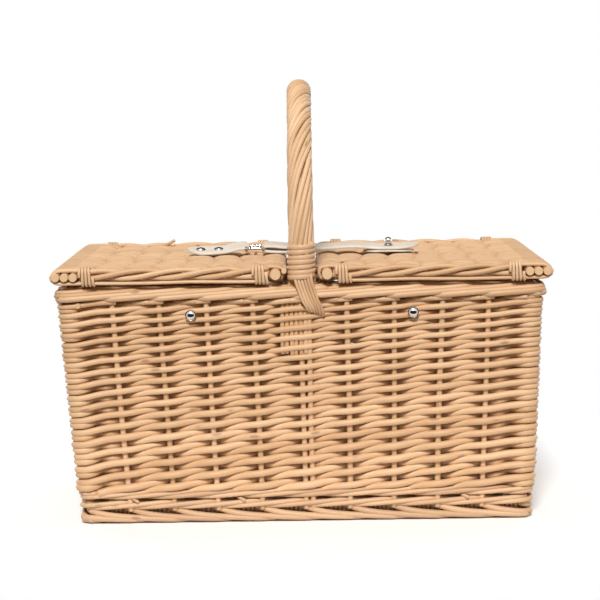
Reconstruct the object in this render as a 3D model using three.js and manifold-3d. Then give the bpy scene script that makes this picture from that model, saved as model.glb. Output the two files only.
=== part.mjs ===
// A willow picnic basket: a tapering woven body with a fixed arched handle across its middle,
// two lids hinged on a crossbar under the handle, and a leather strap that ties the lids together.
// Units are millimetres. +X runs along the basket, +Y to the back, +Z up; z = 0 is the floor.
import * as THREE from "three";
import { mergeVertices } from "three/addons/utils/BufferGeometryUtils.js";
import Module from "manifold-3d";

// ---- driving dimensions ----
const GAP = 0.3; // between pieces that touch
const RIM = { length: 455, width: 297 }; // outside of the top border
const WALL_TOP = { length: 451, width: 289 };
const WALL_FOOT = { length: 429, width: 269 };
const WALE_FOOT = { length: 426, width: 266 };
const FOOT = { length: 421, width: 262 };
const FOOT_TOP = 13;
const WALE_TOP = 32;
const WALL_HEIGHT = 211; // top of the randed wall
const RIM_TOP = 225.3;
const WALL_THICKNESS = 13;
const RIM_THICKNESS = 16;
const CORNER_RADIUS = 11;
const BASE_BOTTOM = 5;
const BASE_TOP = 17;
const BASE_STICK_RADIUS = 4;
const BASE_STICK_ROWS = [-78, 0, 78];
const POST_RADIUS = 4.5;
const POST_INSET = 3; // from the middle of the wall towards the inside

const HANDLE_HALF_SPAN = 139.5;
const HANDLE_SPRING = 262.5; // height where the straight legs meet the arch
const HANDLE_TAIL = 160; // height of the bow's end inside the wall
const BOW_RADIUS = 4.5;
const ROPE_RADIUS = 11.8;
const WRAP_RADIUS = 12.5;
const WRAP_BOTTOM = 228.5;
const WRAP_TOP = 260.5;

const LID_MIDDLE = 235.2; // height of the lids' middle plane and of their hinge lines
const LID_HALF_THICKNESS = 7.8;
const LID_END = 232.5; // from the centre to a lid's outer end
const LID_WEAVE_HALF_DEPTH = 138.3;
const LID_HALF_DEPTH = 150;
const HINGE_X = 24;
const INNER_STICK_RADIUS = 5;
const OUTER_STICK_RADIUS = 4;
const OUTER_STICKS = [227, 218.8, 210.6];
const LID_STICK_HALF_LENGTH = 149;
const EDGE_RANGE = [32, 203]; // the lid's edge wale, along x
const EDGE_HALF_HEIGHT = 7.6;
const BINDINGS = { outer: 198.5, inner: 38.5 };
const BINDING_WIDTH = 12;
const BINDING_THICKNESS = 1.6;

const CROSSBAR_RADIUS = 6;
const CROSSBAR_HALF_LENGTH = 131.4;
const LOOP_WIDTH = 9;
const LOOP_THICKNESS = 2.2;
const LOOP_ROWS = { left: [-94, 94], right: [-84, 84] };

const STUD_X = 103;
const STUD_HEIGHT = 198.6;
const STUD_RADIUS = 4.9;
const SHANK_RADIUS = 1.5;
const GLASS_LOOP = { length: 56, depth: 24, height: 16, thickness: 2.2 };

const STRAP_WIDTH = 24;
const STRAP_Y = -2;
const STRAP_BOTTOM = 247.8;
const STRAP_THICKNESS = 2.5;
const STRAP_TIP = 116;
const STRAP_CENTRE_HALF = 4; // the part that stays with the basket, under the handle
const STRAP_JOIN_X = 14; // where the parts that ride on the lids begin
const STRAP_FOLD_X = 32; // where the strap's free end lifts from
const PATCH_THICKNESS = 2;
const CHAPE_TIP = -112;
const CHAPE_RIVETS = [-99.5, -81.5];
const BUCKLE = { x: -45, length: 18, width: 31, wire: 1.4 };
const BALL_STUD_X = 86.5;
const BALL_RADIUS = 3.4;
const BALL_HEIGHT = 253.2;

// Heights between which a cutting tool passes right through a lid and the strap over it.
const THROUGH_LID = [LID_MIDDLE - 20, LID_MIDDLE + 25];

// ---- materials ----
const finish = (color, roughness, metalness) =>
  new THREE.MeshStandardMaterial({ color, roughness, metalness });
const willow = finish(0xd9a878, 0.6, 0);
const willowDark = finish(0xc08c5a, 0.65, 0);
const willowSkein = finish(0xe0b384, 0.5, 0);
const willowCut = finish(0xdcb083, 0.7, 0);
const leather = finish(0xe6dac6, 0.55, 0);
const nickel = finish(0xcfcfcf, 0.2, 1);

// ---- solids ----
const wasm = await Module();
wasm.setup();

// A closed geometry as a manifold-3d solid.
function solid(geometry) {
  const bare = geometry.index ? geometry.toNonIndexed() : geometry.clone();
  bare.deleteAttribute("normal");
  bare.deleteAttribute("uv");
  const merged = mergeVertices(bare, 1e-3);
  return new wasm.Manifold(
    new wasm.Mesh({
      numProp: 3,
      vertProperties: new Float32Array(merged.attributes.position.array),
      triVerts: new Uint32Array(merged.index.array),
    }),
  );
}

function geometryOf(manifold) {
  const { vertProperties, triVerts } = manifold.getMesh();
  const geometry = new THREE.BufferGeometry();
  geometry.setAttribute("position", new THREE.BufferAttribute(vertProperties, 3));
  geometry.setIndex(new THREE.BufferAttribute(triVerts, 1));
  geometry.computeVertexNormals();
  return geometry;
}

const cut = (geometry, ...tools) =>
  geometryOf(tools.reduce((rest, tool) => rest.subtract(solid(tool)), solid(geometry)));
const join = (first, ...others) =>
  geometryOf(others.reduce((whole, other) => whole.add(solid(other)), solid(first)));
const common = (a, b) => geometryOf(solid(a).intersect(solid(b)));

function box(x0, x1, y0, y1, z0, z1) {
  return new THREE.BoxGeometry(x1 - x0, y1 - y0, z1 - z0).translate(
    (x0 + x1) / 2,
    (y0 + y1) / 2,
    (z0 + z1) / 2,
  );
}

// A round rod between two points.
function rod(from, to, radius, sides = 10) {
  const a = new THREE.Vector3(...from);
  const b = new THREE.Vector3(...to);
  const turn = new THREE.Quaternion().setFromUnitVectors(
    new THREE.Vector3(0, 1, 0),
    b.clone().sub(a).normalize(),
  );
  const middle = a.clone().add(b).multiplyScalar(0.5);
  return new THREE.CylinderGeometry(radius, radius, a.distanceTo(b), sides)
    .applyQuaternion(turn)
    .translate(middle.x, middle.y, middle.z);
}

// A solid of revolution about +Z, from [radius, height] pairs that start and end on the axis.
function turned(profile, sides = 14) {
  const points = profile.map(([r, z]) => new THREE.Vector2(r, z));
  return new THREE.LatheGeometry(points, sides).rotateX(Math.PI / 2);
}

// A shape drawn in the XZ plane, extruded along Y from y0 to y1.
function acrossY(shape, y0, y1) {
  return new THREE.ExtrudeGeometry(shape, {
    depth: y1 - y0,
    bevelEnabled: false,
    curveSegments: 7,
  })
    .rotateX(Math.PI / 2)
    .translate(0, y1, 0);
}

// A shape drawn in the XY plane, extruded along Z from z0 to z1.
function upZ(shape, z0, z1) {
  return new THREE.ExtrudeGeometry(shape, {
    depth: z1 - z0,
    bevelEnabled: false,
    curveSegments: 6,
  }).translate(0, 0, z0);
}

const polygon = (points) => new THREE.Shape(points.map(([x, y]) => new THREE.Vector2(x, y)));

// The corners of a rounded rectangle, anticlockwise, at one height.
function outline(length, width, radius, z, steps = 4) {
  const points = [];
  const corners = [
    [1, -1, -Math.PI / 2],
    [1, 1, 0],
    [-1, 1, Math.PI / 2],
    [-1, -1, Math.PI],
  ];
  for (const [sx, sy, start] of corners) {
    for (let i = 0; i <= steps; i++) {
      const angle = start + (i / steps) * (Math.PI / 2);
      points.push([
        sx * (length / 2 - radius) + radius * Math.cos(angle),
        sy * (width / 2 - radius) + radius * Math.sin(angle),
        z,
      ]);
    }
  }
  return points;
}

// Joins equal loops of points one after another and the last to the first, as a closed ring.
function ringOfLoops(loops) {
  const count = loops[0].length;
  const index = [];
  loops.forEach((_, j) => {
    const next = (j + 1) % loops.length;
    for (let i = 0; i < count; i++) {
      const k = (i + 1) % count;
      const [a, b] = [j * count + i, j * count + k];
      const [c, d] = [next * count + k, next * count + i];
      index.push(a, b, c, a, c, d);
    }
  });
  const geometry = new THREE.BufferGeometry();
  geometry.setAttribute(
    "position",
    new THREE.Float32BufferAttribute(loops.flat(2), 3),
  );
  geometry.setIndex(index);
  return geometry;
}

// A tapering woven band round the basket; bulge rounds its outer face.
function band(low, high, z0, z1, thickness, bulge = 0) {
  const middle = (z0 + z1) / 2;
  const at = (size, inset, z) =>
    outline(size.length - 2 * inset, size.width - 2 * inset, CORNER_RADIUS - inset * 0.5, z);
  return ringOfLoops([
    at(low, bulge, z0),
    ...(bulge ? [at(low, 0, middle - bulge), at(high, 0, middle + bulge)] : []),
    at(high, bulge, z1),
    at(high, thickness, z1),
    at(low, thickness, z0),
  ]);
}

// Half-length or half-width of the wall's middle surface at a height.
function wallMiddle(side, z) {
  const share = (z - WALE_TOP) / (WALL_HEIGHT - WALE_TOP);
  const outside = WALL_FOOT[side] + share * (WALL_TOP[side] - WALL_FOOT[side]);
  return (outside - WALL_THICKNESS) / 2;
}

// ---- the handle's centre line ----
function handlePoints(z0, steps = 16) {
  const legs = [HANDLE_TAIL, 190, RIM_TOP, WRAP_BOTTOM, 245].filter((z) => z > z0);
  const legY = (z) => -Math.min(HANDLE_HALF_SPAN, wallMiddle("width", z) + 0.8);
  const leg = [z0, ...legs].map((z) => new THREE.Vector3(0, legY(z), z));
  const arch = [];
  for (let i = 1; i < steps; i++) {
    const angle = Math.PI - (i / steps) * Math.PI;
    arch.push(
      new THREE.Vector3(
        0,
        HANDLE_HALF_SPAN * Math.cos(angle),
        HANDLE_SPRING + HANDLE_HALF_SPAN * Math.sin(angle),
      ),
    );
  }
  const spring = new THREE.Vector3(0, -HANDLE_HALF_SPAN, HANDLE_SPRING);
  const front = [...(z0 < HANDLE_SPRING ? leg : []), spring];
  const back = front.map((p) => new THREE.Vector3(0, -p.y, p.z)).reverse();
  return [...front, ...arch, ...back];
}

const circle = (radius, sides) => {
  const points = [];
  for (let i = 0; i < sides; i++) {
    const angle = (i / sides) * 2 * Math.PI;
    points.push([radius * Math.cos(angle), radius * Math.sin(angle)]);
  }
  return polygon(points);
};

function swept(points, shape, steps) {
  return new THREE.ExtrudeGeometry(shape, {
    steps,
    extrudePath: new THREE.CatmullRomCurve3(points),
  });
}

function tubeShape(outer, inner, sides) {
  const shape = circle(outer, sides);
  shape.holes.push(circle(inner, sides));
  return shape;
}

// ---- assembly helpers ----
const basket = new THREE.Group();

function add(name, geometry, material) {
  const mesh = new THREE.Mesh(geometry, material);
  mesh.name = name;
  basket.add(mesh);
  return mesh;
}

// ---- body ----
function cornerPost(sx, sy, radius) {
  const end = (z) => [
    sx * (wallMiddle("length", z) - POST_INSET),
    sy * (wallMiddle("width", z) - POST_INSET),
    z,
  ];
  return rod(end(FOOT_TOP + 2), end(WALL_HEIGHT - 2), radius);
}

const bowTunnel = () => swept(handlePoints(HANDLE_TAIL - 2), circle(BOW_RADIUS + 0.5, 10), 48);

const posts = {
  front_left: [-1, -1],
  front_right: [1, -1],
  back_left: [-1, 1],
  back_right: [1, 1],
};

function buildBody() {
  const postTools = Object.values(posts).map(([sx, sy]) =>
    cornerPost(sx, sy, POST_RADIUS + GAP + 0.2),
  );
  const foot = band(FOOT, FOOT, 0, FOOT_TOP - GAP, 12, 2);
  const wale = band(WALE_FOOT, WALL_FOOT, FOOT_TOP, WALE_TOP - GAP, WALL_THICKNESS, 1.5);
  const wall = band(WALL_FOOT, WALL_TOP, WALE_TOP, WALL_HEIGHT - GAP, WALL_THICKNESS);
  const rim = band(RIM, RIM, WALL_HEIGHT, RIM_TOP, RIM_THICKNESS, 4);
  const studHoles = [-1, 1].map((side) => {
    const [outside, inside] = [-WALL_TOP.width / 2 - 5, -WALL_TOP.width / 2 + 25];
    const end = (y) => [side * STUD_X, y, STUD_HEIGHT];
    return rod(end(outside), end(inside), SHANK_RADIUS + GAP + 0.1);
  });

  add("foot_border", foot, willow);
  add("lower_wale", cut(wale, ...postTools), willow);
  add("side_weave", cut(wall, ...postTools, bowTunnel(), ...studHoles), willow);
  add("top_border", cut(rim, bowTunnel()), willow);
  for (const [name, [sx, sy]] of Object.entries(posts)) {
    add(`corner_post_${name}`, cornerPost(sx, sy, POST_RADIUS), willowDark);
  }
}

function buildBase() {
  const [halfLength, halfWidth] = [FOOT.length / 2 - 12.6, FOOT.width / 2 - 12.6];
  const middle = (BASE_BOTTOM + BASE_TOP) / 2;
  const stick = (y, radius, reach) => rod([-reach, y, middle], [reach, y, middle], radius);
  const plan = polygon(outline(2 * halfLength, 2 * halfWidth, CORNER_RADIUS - 6, 0));
  const slab = upZ(plan, BASE_BOTTOM, BASE_TOP);
  const channels = BASE_STICK_ROWS.map((y) => stick(y, BASE_STICK_RADIUS + 0.5, halfLength + 5));
  add("base_weave", cut(slab, ...channels), willow);
  BASE_STICK_ROWS.forEach((y, i) => {
    add(`base_stick_${i + 1}`, stick(y, BASE_STICK_RADIUS, halfLength), willowDark);
  });
}

// ---- handle ----
function buildHandle() {
  add("handle_bow", swept(handlePoints(HANDLE_TAIL), circle(BOW_RADIUS, 8), 48), willowDark);
  const rope = tubeShape(ROPE_RADIUS, BOW_RADIUS + 0.6, 12);
  add("handle_rope", swept(handlePoints(HANDLE_SPRING), rope, 30), willow);

  const wrap = tubeShape(WRAP_RADIUS, BOW_RADIUS + 0.6, 14);
  // The ribbon of skeins that ties the leg down over the border, slanting to the front's right.
  const tie = polygon([
    [-6, WRAP_BOTTOM - 1],
    [8, 195],
    [19, 198],
    [12, WRAP_BOTTOM - 1],
  ]);
  for (const [side, sign] of [["front", -1], ["back", 1]]) {
    const leg = [WRAP_BOTTOM, 239, 250, WRAP_TOP - GAP].map(
      (z) => new THREE.Vector3(0, sign * HANDLE_HALF_SPAN, z),
    );
    add(`handle_wrap_${side}`, swept(leg, wrap, 4), willowSkein);
    const face = RIM.width / 2 + GAP;
    const ribbon = acrossY(tie, -face - 3, -face);
    add(`handle_tie_${side}`, sign < 0 ? ribbon : ribbon.rotateZ(Math.PI), willowSkein);
  }
}

// ---- hinges ----
// The outline of a belt round two circles, in the XZ plane.
function beltPoints([x1, z1, r1], [x2, z2, r2], steps = 6) {
  const [dx, dz] = [x2 - x1, z2 - z1];
  const heading = Math.atan2(dz, dx);
  const tangent = Math.acos((r1 - r2) / Math.hypot(dx, dz));
  const arc = (x, z, r, from, to) =>
    Array.from({ length: steps + 1 }, (_, i) => {
      const angle = from + ((to - from) * i) / steps;
      return [x + r * Math.cos(angle), z + r * Math.sin(angle)];
    });
  return [
    ...arc(x1, z1, r1, heading + tangent, heading + 2 * Math.PI - tangent),
    ...arc(x2, z2, r2, heading - tangent, heading + tangent),
  ];
}

function buildHinges() {
  const barZ = RIM_TOP - CROSSBAR_RADIUS;
  add(
    "crossbar",
    rod([0, -CROSSBAR_HALF_LENGTH, barZ], [0, CROSSBAR_HALF_LENGTH, barZ], CROSSBAR_RADIUS, 12),
    willowDark,
  );
  for (const [side, sign] of [["left", -1], ["right", 1]]) {
    const belt = (extra) =>
      polygon(
        beltPoints(
          [sign * HINGE_X, LID_MIDDLE, INNER_STICK_RADIUS + 0.6 + extra],
          [0, barZ, CROSSBAR_RADIUS + 0.4 + extra],
        ),
      );
    LOOP_ROWS[side].forEach((y, i) => {
      const shape = belt(LOOP_THICKNESS);
      shape.holes.push(belt(0));
      const loop = acrossY(shape, y - LOOP_WIDTH / 2, y + LOOP_WIDTH / 2);
      add(`hinge_loop_${side}_${i ? "back" : "front"}`, loop, willowSkein);
    });
  }
}

// ---- wall studs and the leather loops that they hold ----
function buildGlassLoops() {
  const wallHalf = (wallMiddle("width", STUD_HEIGHT) * 2 + WALL_THICKNESS) / 2;
  const outside = -wallHalf;
  const inside = outside + WALL_THICKNESS + 1.2;
  const { length, depth, height, thickness } = GLASS_LOOP;
  for (const [side, sign] of [["left", -1], ["right", 1]]) {
    const ring = (inset) =>
      outline(length - 2 * inset, depth - 2 * inset, depth / 2 - inset - 0.1, 0, 5).map(
        ([x, y]) => [sign * STUD_X + x, inside + depth / 2 + y],
      );
    const shape = polygon(ring(0));
    shape.holes.push(polygon(ring(thickness)));
    const half = height / 2;
    const loop = upZ(shape, STUD_HEIGHT - half, STUD_HEIGHT + half);
    const hole = rod(
      [sign * STUD_X, inside - 5, STUD_HEIGHT],
      [sign * STUD_X, inside + 5, STUD_HEIGHT],
      SHANK_RADIUS + GAP,
    );
    add(`glass_loop_${side}`, cut(loop, hole), leather);

    // Dome outside, shank through the wall, clench washer inside the loop.
    const reach = inside + thickness + GAP - outside;
    const stud = turned([
      [0, -3.2],
      [2.6, -2.9],
      [4.2, -1.9],
      [STUD_RADIUS, -0.7],
      [STUD_RADIUS, -0.3],
      [SHANK_RADIUS, -0.3],
      [SHANK_RADIUS, reach],
      [3.5, reach],
      [3.5, reach + 1.2],
      [0, reach + 1.2],
    ]);
    stud.rotateX(-Math.PI / 2).translate(sign * STUD_X, outside, STUD_HEIGHT);
    add(`wall_stud_${side}`, stud, nickel);
  }
}

// ---- lids ----
// Profile of a lid's woven panel in XZ, with the slot for its outer sticks and the inner stick's hole.
function lidProfile(sign) {
  const h = LID_HALF_THICKNESS;
  const stadium = (x1, x2, r, steps) =>
    beltPoints([x1, LID_MIDDLE, r], [x2, LID_MIDDLE, r], steps);
  const profile = polygon(stadium(sign * HINGE_X, sign * (LID_END - h), h, 8));
  const slotRadius = OUTER_STICK_RADIUS + 0.4;
  const slot = stadium(sign * OUTER_STICKS[0], sign * OUTER_STICKS[2], slotRadius, 6);
  profile.holes.push(polygon(slot));
  const hole = circle(INNER_STICK_RADIUS + 0.5, 12).getPoints();
  profile.holes.push(polygon(hole.map((p) => [sign * HINGE_X + p.x, LID_MIDDLE + p.y])));
  return profile;
}

function rivetShaft(x) {
  const [low, high] = THROUGH_LID;
  return rod([x, STRAP_Y, low], [x, STRAP_Y, high], SHANK_RADIUS + GAP);
}

function buildLid(side, sign, rivets) {
  const depth = LID_WEAVE_HALF_DEPTH;
  const stickAt = (x, radius, half) =>
    rod([sign * x, -half, LID_MIDDLE], [sign * x, half, LID_MIDDLE], radius);
  const notches = LOOP_ROWS[side].map((y) =>
    rod(
      [sign * HINGE_X, y - LOOP_WIDTH / 2 - 0.6, LID_MIDDLE],
      [sign * HINGE_X, y + LOOP_WIDTH / 2 + 0.6, LID_MIDDLE],
      13,
      12,
    ),
  );
  const bindingSlots = [];
  for (const x of Object.values(BINDINGS)) {
    const half = BINDING_WIDTH / 2 + GAP;
    for (const y of [-depth, depth]) {
      const reach = BINDING_THICKNESS + 1;
      bindingSlots.push(
        box(sign * x - half, sign * x + half, y - reach, y + reach, ...THROUGH_LID),
      );
    }
  }
  const rivetHoles = rivets.map((x) => rivetShaft(x));
  add(
    `${side}_lid_weave`,
    cut(acrossY(lidProfile(sign), -depth, depth), ...notches, ...bindingSlots, ...rivetHoles),
    willow,
  );

  OUTER_STICKS.forEach((x, i) => {
    const stick = stickAt(x, OUTER_STICK_RADIUS, LID_STICK_HALF_LENGTH);
    add(`${side}_lid_outer_stick_${i + 1}`, stick, willowCut);
  });
  const innerStick = stickAt(HINGE_X, INNER_STICK_RADIUS, LID_STICK_HALF_LENGTH);
  add(`${side}_lid_inner_stick`, innerStick, willowCut);

  const inner = depth + GAP;
  const [near, far] = EDGE_RANGE;
  const [low, high] = [LID_MIDDLE - EDGE_HALF_HEIGHT, LID_MIDDLE + EDGE_HALF_HEIGHT];
  for (const [end, turn] of [["front", -1], ["back", 1]]) {
    const xs = [sign * near, sign * far].sort((a, b) => a - b);
    const ys = [turn * inner, turn * LID_HALF_DEPTH].sort((a, b) => a - b);
    add(`${side}_lid_${end}_edge`, box(...xs, ...ys, low, high), willow);
    for (const [place, x] of Object.entries(BINDINGS)) {
      const half = BINDING_WIDTH / 2;
      const ring = (grow) =>
        box(
          sign * x - half - (grow ? 0 : 1),
          sign * x + half + (grow ? 0 : 1),
          ys[0] - GAP - grow,
          ys[1] + GAP + grow,
          low - GAP - grow,
          high + GAP + grow,
        );
      const binding = cut(ring(BINDING_THICKNESS), ring(0));
      add(`${side}_lid_${end}_binding_${place}`, binding, willowSkein);
    }
  }
}

// ---- strap, chape, buckle and ball stud ----
const LID_TOP = LID_MIDDLE + LID_HALF_THICKNESS;
const LID_UNDERSIDE = LID_MIDDLE - LID_HALF_THICKNESS;
const PATCH_BOTTOM = LID_TOP + GAP;
const PATCH_TOP = PATCH_BOTTOM + PATCH_THICKNESS;
const STRAP_TOP = STRAP_BOTTOM + STRAP_THICKNESS;
const STRAP_MIDDLE = (STRAP_BOTTOM + STRAP_TOP) / 2;
const strapSides = [STRAP_Y - STRAP_WIDTH / 2, STRAP_Y + STRAP_WIDTH / 2];

function strapPiece(x0, x1) {
  return box(x0, x1, ...strapSides, STRAP_BOTTOM, STRAP_TOP);
}

// A leather eye round one of the buckle's bars.
function eye(x) {
  const outer = BUCKLE.wire + GAP + 1.9;
  const ring = tubeShape(outer, BUCKLE.wire + GAP + 0.1, 12);
  return new THREE.ExtrudeGeometry(ring, { depth: STRAP_WIDTH, bevelEnabled: false })
    .rotateX(Math.PI / 2)
    .translate(x, strapSides[1], STRAP_MIDDLE);
}

function buildBuckle() {
  const { x, length, width, wire } = BUCKLE;
  const [y0, y1] = [STRAP_Y - width / 2, STRAP_Y + width / 2];
  const bar = (from, to) => rod([...from, STRAP_MIDDLE], [...to, STRAP_MIDDLE], wire, 10);
  const across = [x - length / 2, x, x + length / 2].map((bx) => bar([bx, y0], [bx, y1]));
  const along = [y0, y1].map((by) => bar([x - length / 2, by], [x + length / 2, by]));
  const knuckles = [];
  for (const kx of [x - length / 2, x + length / 2]) {
    for (const ky of [y0, y1]) {
      knuckles.push(new THREE.SphereGeometry(wire * 1.15, 10, 6).translate(kx, ky, STRAP_MIDDLE));
    }
  }
  add("buckle_frame", join(across[0], ...across.slice(1), ...along, ...knuckles), nickel);
}

// The clenched washer under a lid and the shank up to a head at headBottom.
const clench = (headBottom) => [
  [0, LID_UNDERSIDE - 1.6],
  [4, LID_UNDERSIDE - 1.6],
  [4, LID_UNDERSIDE - 0.4],
  [SHANK_RADIUS, LID_UNDERSIDE - 0.4],
  [SHANK_RADIUS, headBottom],
];

function rivet(x, headBottom) {
  const profile = [
    ...clench(headBottom),
    [4.6, headBottom],
    [4.6, headBottom + 0.5],
    [3.6, headBottom + 1.7],
    [1.9, headBottom + 2.5],
    [0, headBottom + 2.8],
  ];
  return turned(profile).translate(x, STRAP_Y, 0);
}

function buildLeftStrap() {
  const { x, length, wire } = BUCKLE;
  const leftBar = x - length / 2;
  const rightBar = x + length / 2;
  // The chape lies on the lid from its pointed tip, then climbs to the buckle's left bar.
  const climb = polygon([
    [CHAPE_TIP, PATCH_BOTTOM],
    [-72, PATCH_BOTTOM],
    [leftBar - wire - 1.2, STRAP_MIDDLE - 1.4],
    [leftBar - wire - 1.2, STRAP_MIDDLE + 1],
    [-72, PATCH_TOP],
    [CHAPE_TIP, PATCH_TOP],
  ]);
  const [y0, y1] = strapSides;
  const plan = polygon([
    [CHAPE_TIP, STRAP_Y - 3],
    [CHAPE_TIP + 9, y0],
    [x, y0],
    [x, y1],
    [CHAPE_TIP + 9, y1],
    [CHAPE_TIP, STRAP_Y + 3],
  ]);
  const blank = common(acrossY(climb, y0, y1), upZ(plan, ...THROUGH_LID));
  const holes = CHAPE_RIVETS.map((rx) => rivetShaft(rx));
  add("buckle_chape", cut(join(blank, eye(leftBar)), ...holes), leather);
  CHAPE_RIVETS.forEach((rx, i) => {
    add(`chape_rivet_${i + 1}`, rivet(rx, PATCH_TOP + GAP), nickel);
  });

  // The strap turns round the buckle's right bar and doubles back beneath itself.
  const upper = box(rightBar + wire + 1, -STRAP_JOIN_X, y0, y1, STRAP_BOTTOM, STRAP_TOP);
  add("strap_left", join(upper, eye(rightBar)), leather);
}

function buildRightStrap() {
  const [y0, y1] = strapSides;
  add("strap_centre", strapPiece(-STRAP_CENTRE_HALF, STRAP_CENTRE_HALF), leather);
  add("strap_right", strapPiece(STRAP_JOIN_X, STRAP_FOLD_X - GAP), leather);

  const tip = polygon([
    [STRAP_FOLD_X, y0],
    [STRAP_TIP - 10, y0],
    [STRAP_TIP - 3, STRAP_Y - 6],
    [STRAP_TIP, STRAP_Y],
    [STRAP_TIP - 3, STRAP_Y + 6],
    [STRAP_TIP - 10, y1],
    [STRAP_FOLD_X, y1],
  ]);
  const buttonHole = rod(
    [BALL_STUD_X, STRAP_Y, STRAP_BOTTOM - 5],
    [BALL_STUD_X, STRAP_Y, STRAP_TOP + 5],
    BALL_RADIUS + 1.3,
    14,
  );
  add("strap_end", cut(upZ(tip, STRAP_BOTTOM, STRAP_TOP), buttonHole), leather);

  const patch = polygon([
    [BALL_STUD_X - 24, STRAP_Y],
    [BALL_STUD_X - 14, y0 - 3],
    [BALL_STUD_X + 14, y0 - 3],
    [BALL_STUD_X + 24, STRAP_Y],
    [BALL_STUD_X + 14, y1 + 3],
    [BALL_STUD_X - 14, y1 + 3],
  ]);
  const blank = upZ(patch, PATCH_BOTTOM, PATCH_TOP);
  add("stud_patch", cut(blank, rivetShaft(BALL_STUD_X)), leather);

  const profile = [
    ...clench(PATCH_TOP + GAP),
    [4, PATCH_TOP + GAP],
    [4, PATCH_TOP + 1.2],
    [1.9, PATCH_TOP + 2],
    [1.9, BALL_HEIGHT - BALL_RADIUS * 0.85],
  ];
  for (let i = 0; i <= 6; i++) {
    const angle = -0.8 + (i / 6) * (0.8 + Math.PI / 2);
    const radius = i === 6 ? 0 : BALL_RADIUS * Math.cos(angle);
    profile.push([radius, BALL_HEIGHT + BALL_RADIUS * Math.sin(angle)]);
  }
  add("ball_stud", turned(profile).translate(BALL_STUD_X, STRAP_Y, 0), nickel);
}

buildBody();
buildBase();
buildHandle();
buildHinges();
buildGlassLoops();
buildLid("left", -1, CHAPE_RIVETS);
buildLid("right", 1, [BALL_STUD_X]);
buildBuckle();
buildLeftStrap();
buildRightStrap();

export default basket;
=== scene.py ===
"""The looks of a willow picnic basket: every rod of its weave, its leather strap and its metal fittings.

Lengths are in millimetres until a mesh is made, and the frame is the CAD part's own: +X to the right,
+Y to the back, +Z up, with z = 0 on the floor. A place on the walls is a stake number, which grows to the
right as seen from outside, a height z, and a distance out from the wall's middle surface.
"""

import math
import random

import bpy
import numpy as np
from mathutils import Matrix, Vector


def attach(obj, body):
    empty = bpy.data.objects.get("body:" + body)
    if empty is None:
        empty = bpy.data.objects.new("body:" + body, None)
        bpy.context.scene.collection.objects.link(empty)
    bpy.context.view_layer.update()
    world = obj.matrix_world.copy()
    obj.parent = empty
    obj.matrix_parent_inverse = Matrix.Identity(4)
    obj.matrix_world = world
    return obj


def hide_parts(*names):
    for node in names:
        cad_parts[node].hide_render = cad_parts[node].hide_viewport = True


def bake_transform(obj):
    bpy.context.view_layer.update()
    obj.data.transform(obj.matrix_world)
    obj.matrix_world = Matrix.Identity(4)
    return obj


MM = 0.001
SEED = 0
SIDES = ((-1, "left"), (1, "right"))
ENDS = (("front", -1), ("back", 1))

# ---- the body ----
LONG_BAYS, SHORT_BAYS = 10, 7  # spaces between stakes on the long and the short walls
STAKES = 2 * (LONG_BAYS + SHORT_BAYS)
CORNER_STAKES = (0, LONG_BAYS, LONG_BAYS + SHORT_BAYS, 2 * LONG_BAYS + SHORT_BAYS)
FRONT_MIDDLE = LONG_BAYS / 2
MIDDLE_STAKES = (FRONT_MIDDLE, FRONT_MIDDLE + LONG_BAYS + SHORT_BAYS)
WALL_LOW, WALL_HIGH = 32.0, 211.0
RIM_HEIGHT = 225.0
MIDDLE_LOW, MIDDLE_HIGH = (208.6, 127.4), (219.8, 138.6)  # the wall's middle surface, half-sizes
CORNER = 5.0  # the middle surface's radius at the corners
LEAN = 1.8  # how far the old basket's foot has crept to the right of its frame, and its rim to the left
STAKE_RADIUS = 2.8
STAKE_OUT = 1.4
STAKE_LOW, STAKE_HIGH = 12.0, 213.0
POST_RADIUS = 3.6
WEAVER_LOW, WEAVER_HIGH = 3.6, 2.5  # a weaver's radius at the wall's foot and top
WEAVER_START = 2.2  # from the wall's foot up to the first weavers
WEAVER_RISE = 6.35  # how far a weaver climbs in its first bay
RISE_FADE = 0.012  # the share by which it climbs less in each later bay
MOST_BAYS = 45  # more than a weaver needs to climb the wall
BAY_STEPS = 10
WALE_ROWS = (17.6, 27.3)
WALE_RODS = 3
WALE_RADIUS = 2.2
WALE_STEPS = 6  # points to a bay
FOOT_RADIUS = 3.1
RIM_ROD_RADIUS = 2.6
BASE_MIDDLE = 11.0
BASE_STICKS = (-78.0, 0.0, 78.0)
BASE_EDGE_Y = 117.0
BASE_RODS, BASE_PITCH = 97, 4.15
BASE_ROD_RADIUS = 1.9

# ---- the handle ----
LEG_Y = 139.5
HANDLE_TAIL = 160.0  # height of the handle's lower ends inside the wall
TAIL_RODS, TAIL_PITCH, TAIL_LEFT = 6, 4.3, -18.4
SPRING_Z = 262.5  # where the straight legs meet the arch
WRAP_LOW, WRAP_HIGH = 228.5, 260.5
WRAP_TURNS, WRAP_PITCH = 7, 4.6
STRAND_COUNT = 12
STRAND_RADIUS = 2.5
STRAND_RING = 9.3  # from the handle's centre line to a strand's
TIE_STRANDS = 6

# ---- the lids ----
LID_Z = 235.2
LID_TOP = 243.0
HINGE_X = 24.0
CROSSBAR_Z = 219.3
OUTER_STICKS = (227.0, 218.8, 210.6)
LID_STICKS = (24.0, 50.0, 76.0, 102.0, 128.0, 154.0, 180.0, 211.0, 240.0)  # the weavers' crossings
LID_HALF_DEPTH = 134.0
LID_ROD_RADIUS = 1.75
LID_ROD_PITCH = 2.3
LID_SWING = 5.6
EDGE_Y = 144.3
BINDINGS = {"outer": 198.5, "inner": 38.5}
LOOP_ROWS = {"left": (-94.0, 94.0), "right": (-84.0, 84.0)}

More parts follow.
